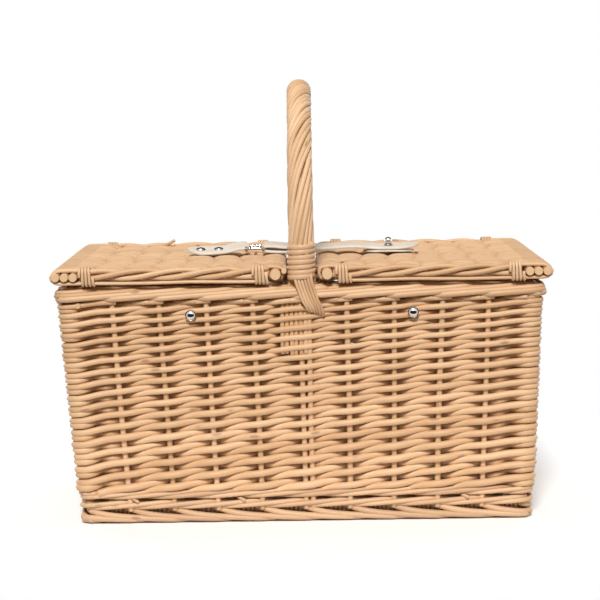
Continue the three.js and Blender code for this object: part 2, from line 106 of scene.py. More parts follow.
# ---- leather and metal ----
STRAP_Y = -2.0
STRAP_Z = 249.0
STRAP_HALF_WIDTH = 11.7
STRAP_THICKNESS = 2.3
STRAP_TILT = 7.0  # degrees by which the strap leans to the front
CHAPE_TILT = 13.0
CHAPE_RIVETS = (-99.5, -81.5)
BALL_X, BALL_Z = 86.5, 253.4
BALL_RADIUS = 3.9
STUD_X, STUD_Z = 103.0, 198.6

# ---- the camera, in metres and degrees ----
CAMERA_SPOT = (0, -2.006, 0.4148)
CAMERA_LENS = 121.6
CAMERA_DOWN, CAMERA_PAN, CAMERA_ROLL = 6.242, 0.05, -0.85

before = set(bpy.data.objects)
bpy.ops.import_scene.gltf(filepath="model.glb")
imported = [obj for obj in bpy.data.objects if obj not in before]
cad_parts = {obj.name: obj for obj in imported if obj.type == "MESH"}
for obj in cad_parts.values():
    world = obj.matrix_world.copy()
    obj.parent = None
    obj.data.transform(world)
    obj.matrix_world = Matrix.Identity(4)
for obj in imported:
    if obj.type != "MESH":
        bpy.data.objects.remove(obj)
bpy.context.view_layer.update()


# ======== Materials ========


class Nodes:
    """Short calls for a material's node tree."""

    def __init__(self, name):
        self.material = bpy.data.materials.new(name)
        self.material.use_nodes = True
        self.tree = self.material.node_tree
        self.shader = self.tree.nodes["Principled BSDF"]

    def new(self, kind, links=(), **settings):
        node = self.tree.nodes.new(kind)
        for key, value in settings.items():
            setattr(node, key, value)
        for socket, source in dict(links).items():
            self.set(node, socket, source)
        return node

    def set(self, node, socket, source):
        """Links a socket to source, or gives it source as its value."""
        if isinstance(source, bpy.types.NodeSocket):
            self.tree.links.new(source, node.inputs[socket])
        else:
            node.inputs[socket].default_value = source

    def attribute(self, name):
        return self.new("ShaderNodeAttribute", attribute_name=name)

    def place(self):
        return self.new("ShaderNodeTexCoord").outputs["Object"]

    def noise(self, vector, scale, detail=3.0):
        links = {"Vector": vector, "Scale": scale, "Detail": detail}
        return self.new("ShaderNodeTexNoise", links).outputs["Fac"]

    def cells(self, vector, scale):
        """The distance from the nearest of many scattered points."""
        links = {"Vector": vector, "Scale": scale}
        return self.new("ShaderNodeTexVoronoi", links).outputs["Distance"]

    def stretched(self, vector, scale):
        return self.new("ShaderNodeMapping", {"Vector": vector, "Scale": scale}).outputs["Vector"]

    def ramp(self, value, low, high):
        """value taken from low..high to 0..1."""
        links = {"Value": value, "From Min": low, "From Max": high}
        return self.new("ShaderNodeMapRange", links).outputs["Result"]

    def mix(self, share, first, second):
        node = self.new("ShaderNodeMix", data_type="RGBA")
        self.set(node, 0, share)
        self.set(node, 6, first)
        self.set(node, 7, second)
        return node.outputs[2]

    def scaled(self, value, factor):
        links = {0: value, 1: factor}
        return self.new("ShaderNodeMath", links, operation="MULTIPLY").outputs[0]

    def bump(self, height, distance, strength):
        links = {"Height": height, "Distance": distance, "Strength": strength}
        self.set(self.shader, "Normal", self.new("ShaderNodeBump", links).outputs["Normal"])


def willow(name, light, dark, dullness=0.42):
    """Peeled willow: streaks along the rod, each rod its own tone, pale cut ends, a few dark knots."""
    ruddy, brown, knot = (0.66, 0.38, 0.20, 1), (0.42, 0.24, 0.12, 1), (0.20, 0.09, 0.04, 1)
    pale_ring, dark_ring = (0.86, 0.60, 0.36, 1), (0.55, 0.32, 0.16, 1)
    n = Nodes(name)
    grain = n.attribute("grain").outputs["Vector"]
    tone = n.attribute("tone").outputs["Fac"]
    cut = n.attribute("cut").outputs["Fac"]
    patches = n.noise(n.stretched(grain, (14, 60, 60)), 1.0, 2.0)
    streaks = n.noise(n.stretched(grain, (45, 1500, 1500)), 1.0, 4.0)
    knots = n.cells(n.stretched(grain, (22, 75, 75)), 1.0)
    colour = n.mix(tone, light, dark)
    colour = n.mix(n.scaled(n.ramp(patches, 0.42, 0.72), 0.26), colour, ruddy)
    colour = n.mix(n.scaled(n.ramp(streaks, 0.45, 0.8), 0.24), colour, brown)
    colour = n.mix(n.scaled(n.ramp(knots, 0.13, 0.07), 0.55), colour, knot)
    rings = n.noise(n.stretched(grain, (0, 1600, 1600)), 1.0, 2.0)
    end_grain = n.mix(rings, pale_ring, dark_ring)
    n.set(n.shader, "Base Color", n.mix(cut, colour, end_grain))
    n.set(n.shader, "Roughness", n.ramp(streaks, -2.2, 1.1 / dullness))
    n.bump(streaks, 0.00012, 0.5)
    return n.material


def leather():
    """Cream strap leather with a fine pebbled grain and slightly soiled patches."""
    cream, soiled, crease = (0.70, 0.64, 0.55, 1), (0.60, 0.52, 0.43, 1), (0.48, 0.38, 0.28, 1)
    n = Nodes("cream_leather")
    place = n.place()
    pebbles = n.cells(place, 1300.0)
    patches = n.noise(place, 45.0)
    colour = n.mix(n.ramp(patches, 0.35, 0.7), cream, soiled)
    colour = n.mix(n.scaled(n.ramp(pebbles, 0.25, 0.0), 0.25), colour, crease)
    n.set(n.shader, "Base Color", colour)
    n.set(n.shader, "Roughness", n.ramp(patches, -1.2, 1.3))
    n.bump(pebbles, 0.00012, 0.6)
    return n.material


def nickel():
    """Polished nickel with faint handling marks."""
    n = Nodes("polished_nickel")
    marks = n.noise(n.stretched(n.place(), (900, 300, 900)), 1.0)
    n.set(n.shader, "Base Color", n.mix(marks, (0.74, 0.72, 0.69, 1), (0.60, 0.57, 0.54, 1)))
    n.set(n.shader, "Metallic", 1.0)
    n.set(n.shader, "Roughness", n.ramp(marks, -0.6, 8.0))
    return n.material


def paper(name, colour):
    """Matt paper or felt whose tone hardly changes from place to place."""
    n = Nodes(name)
    darker = tuple(0.98 * c for c in colour)
    n.set(n.shader, "Base Color", n.mix(n.noise(n.place(), 3.0), colour, darker))
    n.set(n.shader, "Roughness", 0.9)
    return n.material


WILLOW = willow("willow_rods", (0.73, 0.475, 0.27, 1), (0.58, 0.34, 0.17, 1))
PALE_WILLOW = willow("willow_fine_rods", (0.75, 0.50, 0.30, 1), (0.63, 0.39, 0.21, 1), 0.46)
# The lid rods use the fine willow's colours darkened. This is painted shade that tones down the lids'
# tops, which the top lamp lights more.
SHADED_LID_WILLOW = willow("willow_lid_rods", (0.66, 0.435, 0.26, 1), (0.54, 0.335, 0.18, 1), 0.46)
STAKE_WILLOW = willow("willow_stakes", (0.72, 0.47, 0.28, 1), (0.58, 0.36, 0.19, 1), 0.5)
# The foot's and the wale's rods use the same willow darkened. This is painted shade low on the wall,
# since these rods are the same tan as the rest.
SHADED_FOOT_WILLOW = willow("willow_foot_rods", (0.66, 0.425, 0.245, 1), (0.50, 0.30, 0.165, 1))
SKEIN_WILLOW = willow("willow_skeins", (0.74, 0.49, 0.29, 1), (0.60, 0.36, 0.19, 1), 0.38)
LEATHER = leather()
NICKEL = nickel()


# ======== Rods and other shapes ========


def smooth_path(points, step):
    """A Catmull-Rom curve through points, with about one point every step."""
    p = np.array(points, float)
    p = np.vstack([2 * p[0] - p[1], p, 2 * p[-1] - p[-2]])
    out = []
    for a, b, c, d in zip(p[:-3], p[1:-2], p[2:-1], p[3:]):
        count = max(1, round(np.linalg.norm(c - b) / step))
        t = (np.arange(count) / count)[:, None]
        square, cube = 2 * a - 5 * b + 4 * c - d, 3 * b - a - 3 * c + d
        out.append(0.5 * (2 * b + (c - a) * t + square * t**2 + cube * t**3))
    return np.vstack([*out, p[-2:-1]])


def tangents_of(path):
    t = np.gradient(path, axis=0)
    return t / np.linalg.norm(t, axis=1, keepdims=True)


def carried_normals(tangents):
    """A direction across the path at each point, turned as little as possible from point to point."""
    normal = np.eye(3)[np.argmin(np.abs(tangents[0]))]
    normals = []
    for t in tangents:
        normal = normal - t * normal.dot(t)
        normal = normal / np.linalg.norm(normal)
        normals.append(normal)
    return np.array(normals)


class Bundle:
    """Rods gathered into one mesh. Each keeps its own tone, and its grain runs along it."""

    CUT_EDGE = 0.14  # how much narrower a cut end is than the rod, and how far it stands out

    def __init__(self, name):
        self.name = name
        self.random = random.Random(f"{name} {SEED}")
        self.points, self.quads, self.caps = [], [], []
        self.tone, self.grain, self.cut = [], [], []
        self.count = 0

    def rod(self, path, radius, sides=8, normals=None, thickness=None, tone=None):
        """A rod along path. radius is one number or one per point; with normals and thickness
        the section is a flat oval, thickness thick along the normals."""
        path = np.array(path, float)
        size = len(path)
        tangents = tangents_of(path)
        across = carried_normals(tangents) if normals is None else np.array(normals, float)
        across = across - tangents * np.sum(across * tangents, axis=1, keepdims=True)
        across /= np.linalg.norm(across, axis=1, keepdims=True)
        beside = np.cross(tangents, across)
        wide = np.broadcast_to(np.array(radius, float), (size,))
        thick = wide if thickness is None else np.full(size, thickness / 2)
        # A narrower ring just past each end makes the edge of the cut.
        ends = np.array([0, *range(size), size - 1])
        shrink = np.array([1 - self.CUT_EDGE, *np.ones(size), 1 - self.CUT_EDGE])[:, None, None]
        reach = np.array([-self.CUT_EDGE, *np.zeros(size), self.CUT_EDGE]) * thick[ends]
        centre = (path[ends] + tangents[ends] * reach[:, None])[:, None, :]
        angle = np.arange(sides) / sides * 2 * math.pi
        along = np.cos(angle)[None, :, None] * (across * thick[:, None])[ends][:, None, :]
        aside = np.sin(angle)[None, :, None] * (beside * wide[:, None])[ends][:, None, :]
        rings = centre + (along + aside) * shrink
        run = np.concatenate([[0], np.cumsum(np.linalg.norm(np.diff(path, axis=0), axis=1))])[ends]
        offset = np.array([self.random.uniform(0, 9) for _ in range(3)])
        grain = np.empty(rings.shape)
        grain[..., 0] = run[:, None] * MM
        grain[..., 1] = np.cos(angle) * thick[ends][:, None] * shrink[..., 0] * MM
        grain[..., 2] = np.sin(angle) * wide[ends][:, None] * shrink[..., 0] * MM
        total = size + 2
        index = self.count + np.arange(total * sides).reshape(total, sides)
        beyond = np.roll(index, -1, axis=1)
        faces = np.stack([index[:-1], beyond[:-1], beyond[1:], index[1:]], axis=-1)
        self.quads.append(faces.reshape(-1, 4))
        self.caps += [index[0][::-1].tolist(), index[-1].tolist()]
        self.points.append(rings.reshape(-1, 3))
        self.grain.append((grain + offset).reshape(-1, 3))
        shade = self.random.random() if tone is None else tone
        self.tone.append(np.full(total * sides, shade))
        cut = np.zeros((total, sides))
        cut[[0, -1]] = 1
        self.cut.append(cut.reshape(-1))
        self.count += total * sides

    def jitter(self, amount):
        return self.random.uniform(-amount, amount)

    def piece(self, body, material, replaces=(), slot=None):
        """Makes the mesh, and has it ride on body in place of the CAD nodes it replaces."""
        mesh = bpy.data.meshes.new(self.name)
        quads = np.vstack(self.quads)
        points = np.vstack(self.points) * MM
        mesh.from_pydata(points.tolist(), [], quads.tolist() + self.caps)
        smooth = np.zeros(len(mesh.polygons), bool)
        smooth[: len(quads)] = True
        mesh.polygons.foreach_set("use_smooth", smooth)
        for name, values, kind, key in (
            ("tone", self.tone, "FLOAT", "value"),
            ("cut", self.cut, "FLOAT", "value"),
            ("grain", self.grain, "FLOAT_VECTOR", "vector"),
        ):
            attribute = mesh.attributes.new(name, kind, "POINT")
            attribute.data.foreach_set(key, np.concatenate(values).astype(np.float32).ravel())
        mesh.materials.append(material)
        obj = bpy.data.objects.new(self.name, mesh)
        bpy.context.collection.objects.link(obj)
        place(obj, body, replaces, slot)


def place(obj, body=None, replaces=(), slot=None):
    """Tells the frame what obj rides on and replaces."""
    if body:
        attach(obj, body)
    if replaces:
        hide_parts(*replaces)


def mesh_object(name, points, faces, material, smooth=True):
    """An object from points in millimetres."""
    mesh = bpy.data.meshes.new(name)
    mesh.from_pydata([tuple(c * MM for c in p) for p in points], [], faces)
    mesh.polygons.foreach_set("use_smooth", [smooth] * len(mesh.polygons))
    mesh.materials.append(material)
    obj = bpy.data.objects.new(name, mesh)
    bpy.context.collection.objects.link(obj)
    return obj


def turned(name, profile, spot, axis=(0, 0, 1), sides=40):
    """A nickel solid of revolution from (radius, height) pairs that start and end on the axis."""
    inner = profile[1:-1]
    points = [(0, 0, profile[0][1])]
    for r, z in inner:
        for i in range(sides):
            a = i / sides * 2 * math.pi
            points.append((r * math.cos(a), r * math.sin(a), z))
    points.append((0, 0, profile[-1][1]))
    faces = []
    for i in range(sides):
        j = (i + 1) % sides
        faces.append((0, 1 + j, 1 + i))
        for ring in range(len(inner) - 1):
            low, high = 1 + ring * sides, 1 + (ring + 1) * sides
            faces.append((low + i, low + j, high + j, high + i))
        top = 1 + (len(inner) - 1) * sides
        faces.append((top + i, top + j, len(points) - 1))
    turn = Vector((0, 0, 1)).rotation_difference(Vector(axis)).to_matrix()
    points = [tuple(turn @ Vector(p) + Vector(spot)) for p in points]
    obj = mesh_object(name, points, faces, NICKEL)
    obj.data.set_sharp_from_angle(angle=math.radians(40))
    return obj


# ======== The body ========


def wall_spot(k, z, out=0.0):
    """The point on the wall's middle surface at stake number k and height z, moved out from it.
    Stake 0 is the front left corner."""
    share = (z - WALL_LOW) / (WALL_HIGH - WALL_LOW)
    half_x = MIDDLE_LOW[0] + share * (MIDDLE_HIGH[0] - MIDDLE_LOW[0])
    half_y = MIDDLE_LOW[1] + share * (MIDDLE_HIGH[1] - MIDDLE_LOW[1])
    k = k % STAKES
    side = 0
    for bays in (LONG_BAYS, SHORT_BAYS, LONG_BAYS, SHORT_BAYS):
        if k < bays:
            break
        k -= bays
        side += 1
    along, away = (half_x, half_y) if side % 2 == 0 else (half_y, half_x)
    # Each wall ends halfway round its two corners.
    arc = CORNER * math.pi / 4
    straight = 2 * (along - CORNER)
    run = k / bays * (straight + 2 * arc)
    if run < arc:
        angle = -math.pi / 4 + run / CORNER
        u = -along + CORNER + CORNER * math.sin(angle)
    elif run > arc + straight:
        angle = (run - arc - straight) / CORNER
        u = along - CORNER + CORNER * math.sin(angle)
    else:
        angle = 0.0
        u = -along + CORNER + run - arc
    v = away - CORNER + CORNER * math.cos(angle)
    u += out * math.sin(angle)
    v += out * math.cos(angle)
    x, y = ((u, -v), (v, u), (-u, v), (-v, -u))[side]
    return (x + LEAN * (1 - 2 * z / RIM_HEIGHT), y, z)


def to_corner(k):
    """How many bays lie from stake number k to the nearest corner, less than 0 if it is behind k."""
    gaps = [(corner - k + STAKES / 2) % STAKES - STAKES / 2 for corner in CORNER_STAKES]
    return min(gaps, key=abs)


def weaver_side(k, t, z):
    """1 where a weaver is in front, -1 where it is behind; t counts bays from a stake it fronts."""
    # The handle's tails widen the middle stakes to the left, down to height HANDLE_TAIL.
    for middle in MIDDLE_STAKES:
        reach = np.interp((middle - k) % STAKES, (0, 0.46, 0.76), (0, 0.46, 0))
        t += reach * np.interp(z, (HANDLE_TAIL - 6, HANDLE_TAIL + 1), (0, 1))
    gap = to_corner(k)
    if abs(gap) >= 1:
        side = math.cos(math.pi * t)
        return side**3 if side < 0 else side**1.2
    # Every rod wraps a corner post from outside; half of them then dive in behind the next stake.
    fronts_corner = math.cos(math.pi * (t + gap)) > 0
    if fronts_corner:
        return float(np.interp(abs(gap), (0, 0.15, 0.42, 0.72, 1), (1, 0.85, -1, -0.1, -1)))
    return float(np.interp(abs(gap), (0, 0.2, 0.55, 1), (1, 0.9, 0.55, 1)))


def side_weave():
    """French randing: one weaver to each bay, each in front of one stake and behind the next."""
    weave = Bundle("side_weave_rods")
    lead_in = 0.7  # bays by which a weaver starts before its first stake
    for start in range(STAKES):
        size = 1 + weave.jitter(0.05)
        sway = weave.random.uniform(0, 6)
        path, radii = [], []
        for i in range(MOST_BAYS * BAY_STEPS):
            t = i / BAY_STEPS - lead_in
            rise = WEAVER_RISE * math.exp(-RISE_FADE * t)
            z = WALL_LOW + WEAVER_START + (WEAVER_RISE - rise) / RISE_FADE
            # It lies a little high where it is in front, climbs mostly between stakes, and wanders.
            z += rise * (0.08 * math.cos(math.pi * t) - 0.065 * math.sin(2 * math.pi * (t + 0.1)))
            z += 0.35 * math.sin(1.9 * t + sway)
            if z > WALL_HIGH + 1:
                break
            share = (z - WALL_LOW) / (WALL_HIGH - WALL_LOW)
            radius = WEAVER_LOW + share * (WEAVER_HIGH - WEAVER_LOW)
            swing = 2.2 + 0.75 * radius
            out = swing * weaver_side(start + t, t, z) + 0.3 * math.sin(1.3 * t + sway)
            path.append(wall_spot(start + t, z, out))
            radii.append(radius * size * (1 + 0.05 * math.sin(1.1 * t + sway)))
        weave.rod(path, radii)
    weave.piece("basket", WILLOW, ["side_weave"], "willow_weave")


def stakes():
    """The upright stakes, with one more beside the middle stake of each long wall."""
    upright = Bundle("wall_stakes")
    heights = np.linspace(STAKE_LOW, STAKE_HIGH, 24)
    places = [k for k in range(STAKES) if k not in CORNER_STAKES]
    places += [k + 0.17 for k in MIDDLE_STAKES]
    for k in places:
        lean = upright.jitter(0.035)
        path = [wall_spot(k + lean * math.sin(z / 50), z, STAKE_OUT) for z in heights]
        upright.rod(path, STAKE_RADIUS * (1 + upright.jitter(0.06)))
    upright.piece("basket", STAKE_WILLOW, slot="willow_core")


def corner_posts():
    for name, k in zip(("front_left", "front_right", "back_right", "back_left"), CORNER_STAKES):
        post = Bundle(f"corner_post_{name}_rod")
        post.rod([wall_spot(k, z, -4.0) for z in np.linspace(14, STAKE_HIGH, 24)], POST_RADIUS, 12)
        post.piece("basket", STAKE_WILLOW, [f"corner_post_{name}"], "willow_core")


def wale_path(start, z):
    """One rod of a wale: in front of two stakes, then behind one, rising as it goes."""
    climb, swing = 4.9, 4.4
    first, last = 0.2, STAKES + 0.4
    path = []
    for i in range(round((last - first) * WALE_STEPS) + 1):
        k = first + i / WALE_STEPS
        d = ((k - start) / WALE_RODS - 1 / 3 + 0.5) % 1 - 0.5
        front = math.cos(math.pi * (2 * abs(d)) ** 1.7)
        if abs(d) <= 1 / 3:
            lift = 0.5 * math.sin(1.5 * math.pi * d)
        else:
            lift = 0.5 * math.copysign(math.cos(3 * math.pi * (abs(d) - 1 / 3)), d)
        path.append(wall_spot(k, z + climb * lift, swing * front))
    return path


def lower_wale():
    """Two rows of three-rod wale above the foot, with the odd cut end poking out."""
    wale = Bundle("lower_wale_rods")
    for row, z in enumerate(WALE_ROWS):
        for start in range(WALE_RODS):
            wale.rod(wale_path(start + row * 0.5, z), WALE_RADIUS * (1 + wale.jitter(0.06)))
    between = sum(WALE_ROWS) / 2
    for k in (1.12, 3.55, 8.62, 12.4, 15.3, 19.2, 22.7, 25.6, 29.4, 32.3):
        inner, outer = wall_spot(k - 0.1, between + 1.2, 1), wall_spot(k + 0.06, between - 0.8, 7.5)
        wale.rod(smooth_path([inner, outer], 3), 1.6)
    # The wale takes the darkened willow, which is painted shade low on the wall.
    wale.piece("basket", SHADED_FOOT_WILLOW, ["lower_wale"], "willow_weave")


def foot_border():
    """Thick rods that come out under the wale at each stake and run down to the right."""
    foot = Bundle("foot_border_rods")
    length, lead_in, steps = 2.7, 0.15, 23  # the first two in bays
    for k in range(STAKES):
        radius = FOOT_RADIUS * (1 + foot.jitter(0.08))
        path = []
        for i in range(steps + 1):
            bays = length * i / steps - lead_in
            z = radius + 0.1 + 9.6 * math.exp(-1.25 * max(0.0, bays))
            comes_out = min(1, (bays + lead_in) / 0.5) ** 0.8
            goes_in = max(0, bays - 2.0) / 0.55
            path.append(wall_spot(k + bays, z, -4.6 + 8.4 * comes_out - 7.5 * goes_in))
        foot.rod(path, radius)
    # The foot takes the darkened willow, which is painted shade low on the wall.
    foot.piece("basket", SHADED_FOOT_WILLOW, ["foot_border"], "willow_weave")


def base():
    """Fine rods woven front to back over the base sticks, each turned round both edge sticks."""
    weave = Bundle("base_weave_rods")
    # A rod's way round an edge stick: how far in from it, and how far up.
    turn = [(5.0, 4.8), (0.2, 5.3), (-4.8, 2.6), (-5.4, -1.2), (-1.5, -5.3), (6.0, -5.2)]
    for j in range(BASE_RODS):
        x = (j - (BASE_RODS - 1) / 2) * BASE_PITCH
        up = 1 if j % 2 else -1
        inner = []
        for y in np.linspace(-104, 104, 27):
            wave = 5.2 * math.cos(math.pi * y / BASE_STICKS[-1])
            inner.append((x + 0.5 * math.sin(y / 31 + j), y, BASE_MIDDLE + up * wave))
        front = [(x, -BASE_EDGE_Y + dy, BASE_MIDDLE + up * dz) for dy, dz in reversed(turn)]
        back = [(x, BASE_EDGE_Y - dy, BASE_MIDDLE + up * dz) for dy, dz in turn]
        path = smooth_path(front + inner + back, 8)
        weave.rod(path, BASE_ROD_RADIUS * (1 + weave.jitter(0.08)), 6)
    for y in (-BASE_EDGE_Y, BASE_EDGE_Y):
        weave.rod(smooth_path([(-199, y, BASE_MIDDLE), (199, y, BASE_MIDDLE)], 20), 3.4)
    weave.piece("basket", PALE_WILLOW, ["base_weave"], "willow_weave")
    for i, y in enumerate(BASE_STICKS):
        stick = Bundle(f"base_stick_rod_{i + 1}")
        stick.rod(smooth_path([(-202, y, BASE_MIDDLE), (202, y, BASE_MIDDLE)], 20), 3.6, 12)
        stick.piece("basket", STAKE_WILLOW, [f"base_stick_{i + 1}"], "willow_stick")


def top_border():
    """The rod border: each stake is laid down to the right and its end comes out below the rim."""
    rim = Bundle("top_border_rods")
    length, lead_in, steps = 3.0, 0.3, 35  # the first two in bays
    for k in range(STAKES):
        radius = RIM_ROD_RADIUS * (1 + rim.jitter(0.07))
        path = []
        for i in range(steps + 1):
            t = i / steps
            comes_out = min(1, t / 0.12) ** 0.7
            goes_in = max(0, t - 0.9) / 0.1
            out = -2 + 9.4 * comes_out - 3.4 * t - 7.5 * goes_in
            path.append(wall_spot(k - lead_in + length * t, 213.6 + 8.8 * t, out))
        rim.rod(path, radius * np.linspace(1.1, 0.9, len(path)))
        if k in CORNER_STAKES:
            continue
        tail = []
        for t in np.linspace(0, 1, 7):
            tail.append(wall_spot(k + 0.3 + 0.5 * t, 210.0 + 1.2 * t, -3.5 + 8.8 * t**0.6))
        rim.rod(tail, 2.0 * (1 + rim.jitter(0.1)))
    # One stake's cut end that looks out near the front left corner.
    rim.rod(smooth_path([wall_spot(0.32, 209.6, -2), wall_spot(0.3, 208.4, 8)], 3), 2.5)
    # Rods that fill the border's inside, where the strokes cross over to.
    inside = ((213.6, -5.0), (218.4, -5.6), (222.4, -3.0), (216.0, -0.4), (220.6, 0.0))
    for i, (z, out) in enumerate(inside):
        ring = [wall_spot(k / 4, z + 0.5 * math.sin(k / 5 + i), out) for k in range(4 * STAKES + 2)]
        rim.rod(ring, 2.8)
    rim.piece("basket", WILLOW, ["top_border"], "willow_weave")


# ======== The handle ========


def handle_line(low, step=4.0):
    """The handle's centre line over the arch, with straight legs down to height low."""
    legs = np.arange(low, SPRING_Z, step)
    front = [(0, -LEG_Y, z) for z in legs]
    turns = np.linspace(math.pi, 0, round(math.pi * LEG_Y / step))
    arch = [(0, LEG_Y * math.cos(a), SPRING_Z + LEG_Y * math.sin(a)) for a in turns]
    return np.array(front + arch + [(x, -y, z) for x, y, z in reversed(front)])


def handle_rope():
    """The strands wound round the bow, and blunt ends of strands that stop above each wrap."""
    line = handle_line(WRAP_LOW + 4)
    tangents = tangents_of(line)
    across = np.tile([1.0, 0.0, 0.0], (len(line), 1))
    beside = np.cross(tangents, across)
    share = np.linspace(0, 1, len(line))
    # The twist starts steep at the legs and lies over more and more towards the top.
    slope = 0.10 + 0.52 * np.sin(math.pi * share) ** 1.5
    step = np.linalg.norm(np.diff(line, axis=0), axis=1).mean()
    twist = np.cumsum(slope) * step / STRAND_RING
    rope = Bundle("handle_rope_strands")
    for i in range(STRAND_COUNT):
        sway = rope.random.uniform(0, 6)
        angle = i / STRAND_COUNT * 2 * math.pi + twist + 0.09 * np.sin(share * 17 + sway)
        ring = STRAND_RING + 0.25 * np.sin(share * 23 + sway)
        offset = (np.cos(angle)[:, None] * across + np.sin(angle)[:, None] * beside) * ring[:, None]
        radius = STRAND_RADIUS * (1 + rope.jitter(0.09)) * (1 + 0.05 * np.sin(share * 31 + sway))
        rope.rod(line + offset, radius, 10)
    ends, end_ring = 11, 10.6
    for _, sign in ENDS:
        for i in range(ends):
            a = i / ends * 2 * math.pi + rope.jitter(0.08)
            top = WRAP_HIGH + 3.4 + rope.jitter(1.2)
            x, y = end_ring * math.cos(a), sign * LEG_Y + end_ring * math.sin(a)
            rope.rod(smooth_path([(x, y, z) for z in (WRAP_HIGH - 8, WRAP_HIGH, top)], 4), 1.9)
    rope.piece("basket", PALE_WILLOW, ["handle_rope"], "willow_weave")


def handle_bow():
    bow = Bundle("handle_bow_rod")
    bow.rod(handle_line(SPRING_Z - 40), 7.0, 12, tone=0.9)
    bow.piece("basket", STAKE_WILLOW, ["handle_bow"], "willow_core")


def handle_tails():
    """The flat row of rods in which each end of the handle goes down through the weave."""
    tails = Bundle("handle_tails")
    low_y, high_y = wall_spot(FRONT_MIDDLE, 166, 2.6)[1], wall_spot(FRONT_MIDDLE, 188, 2.6)[1]
    rim_y = wall_spot(FRONT_MIDDLE, 208, 0.5)[1]
    for _, sign in ENDS:
        for i in range(TAIL_RODS):
            x = TAIL_LEFT + i * TAIL_PITCH
            depth = [tails.jitter(0.5) for _ in range(2)]
            path = [
                (x + tails.jitter(0.6), low_y + depth[0], HANDLE_TAIL + tails.jitter(1.5)),
                (x, high_y + depth[1], 188),
                (x * 0.95, rim_y, 208),
                (x * 0.62, -LEG_Y + 1, 222),
                (x * 0.5, -LEG_Y, 236),
            ]
            path = [(-sign * px, -sign * py, z) for px, py, z in path]
            tails.rod(smooth_path(path, 6), 2.15)
    tails.piece("basket", WILLOW, slot="willow_core")


def handle_wrap(name, sign):
    """Split willow wound tightly round the foot of one leg."""
    wrap = Bundle(f"handle_wrap_{name}_skein")
    per_turn = 32
    path, normals = [], []
    for i in range(WRAP_TURNS * per_turn + 1):
        a = i / per_turn * 2 * math.pi
        z = WRAP_LOW + 1.0 + WRAP_PITCH * i / per_turn + 0.3 * math.sin(a * 0.37)
        r = 12.0 + 0.25 * math.sin(a * 0.61)
        path.append((r * math.cos(a), sign * LEG_Y + r * math.sin(a), z))
        normals.append((math.cos(a), math.sin(a), 0))
    wrap.rod(path, 2.35, 8, normals, thickness=2.2)
    wrap.piece("basket", SKEIN_WILLOW, [f"handle_wrap_{name}"], "willow_skein")


def handle_tie(name, sign):
    """The ribbon of strands that runs from the wrap across the border and into the weave."""
    tie = Bundle(f"handle_tie_{name}_strands")
    for i in range(TIE_STRANDS):
        s = i - (TIE_STRANDS - 1) / 2
        x0, x1 = 2.0 + s * 2.95, 11.5 + s * 2.7
        path = [
            (x0 - 0.8, -LEG_Y - 8.0, 236),
            (x0, -LEG_Y - 10.2, 229),
            (x0 + (x1 - x0) * 0.25, -149.4, 221),
            (x0 + (x1 - x0) * 0.62, -149.6, 211),
            (x1, -147.4, 204.5),
            (x1 + 1.4, -143.0, 199.5 - s * 0.8),
            (x1 + 2.2, -134.0, 197.5 - s * 0.8),
        ]
        path = smooth_path([(-sign * x, -sign * y, z) for x, y, z in path], 3)
        tie.rod(path, 1.42 * (1 + tie.jitter(0.06)))
    tie.piece("basket", SKEIN_WILLOW, [f"handle_tie_{name}"], "willow_skein")


# ======== The lids and their hinges ========


def crossbar():
    bar = Bundle("crossbar_rod")
    bar.rod(smooth_path([(0, -133, CROSSBAR_Z), (0, 133, CROSSBAR_Z)], 15), 5.8, 16)
    bar.piece("basket", STAKE_WILLOW, ["crossbar"], "willow_core")


def hinge_loop(sign, side, row, y):
    """Three turns of split willow round the crossbar and a lid's hinge rod."""
    loop = Bundle(f"hinge_loop_{side}_{row}_skein")
    heading = math.atan2(CROSSBAR_Z - LID_Z, -sign * HINGE_X)
    reach = math.hypot(CROSSBAR_Z - LID_Z, HINGE_X)
    turns, per_turn, pitch = 3, 36, 2.9
    path, normals = [], []
    for i in range(turns * per_turn + 1):
        a = i / per_turn * 2 * math.pi
        near = 0.5 - 0.5 * math.cos(a)
        cx = sign * HINGE_X + reach * near * math.cos(heading)
        cz = LID_Z + reach * near * math.sin(heading)
        r = 6.8 + near * 0.9
        nx, nz = math.cos(heading + math.pi + a), math.sin(heading + math.pi + a)
        shift = (i / per_turn - turns / 2) * pitch
        path.append((cx + r * nx, y + shift, cz + r * nz))
        normals.append((nx, 0, nz))
    loop.rod(path, 1.45, 6, normals, thickness=1.5)
    loop.piece("basket", SKEIN_WILLOW, [f"hinge_loop_{side}_{row}"], "willow_skein")


def stick_number(x):
    """How many lid sticks lie between the hinge and x, counted smoothly."""
    return float(np.interp(x, LID_STICKS, range(len(LID_STICKS))))


def lid_weaver(sign, j, y, near_loop):
    """One fine rod of a lid: over and under the sticks, and turned round both end sticks."""
    up = 1 if j % 2 else -1
    start = 40 if near_loop else 30
    path = []
    if not near_loop:
        path += [(38, -3.4 * up), (32, -5.6 * up), (25, -6.2 * up), (17.8, -4.4 * up), (16.4, 0)]
        path += [(17.8, 4.4 * up), (25, 6.2 * up)]
    for x in np.arange(start, 206, 3.0):
        wave = math.cos(math.pi * stick_number(x + 7 * abs(math.sin(y / 30))))
        path.append((x, up * LID_SWING * math.copysign(abs(wave) ** 0.25, wave)))
    if near_loop:
        path[0] = (start, 0)
    # Round the three outer sticks, on the side on which it comes.
    come = -up
    path += [(214, 5.9 * come), (224, 5.8 * come), (229.4, 3.8 * come), (230.9, 0)]
    path += [(229.4, -3.8 * come), (224, -5.8 * come), (212, -5.8 * come), (205, -4.0 * come)]
    spots = []
    for x, z in path:
        spread = 0.5 * math.sin(math.pi * stick_number(x)) * up
        spots.append((sign * x, y + spread + 0.7 * math.sin(x / 37 + y / 19), LID_Z + z))
    return smooth_path(spots, 3.5)


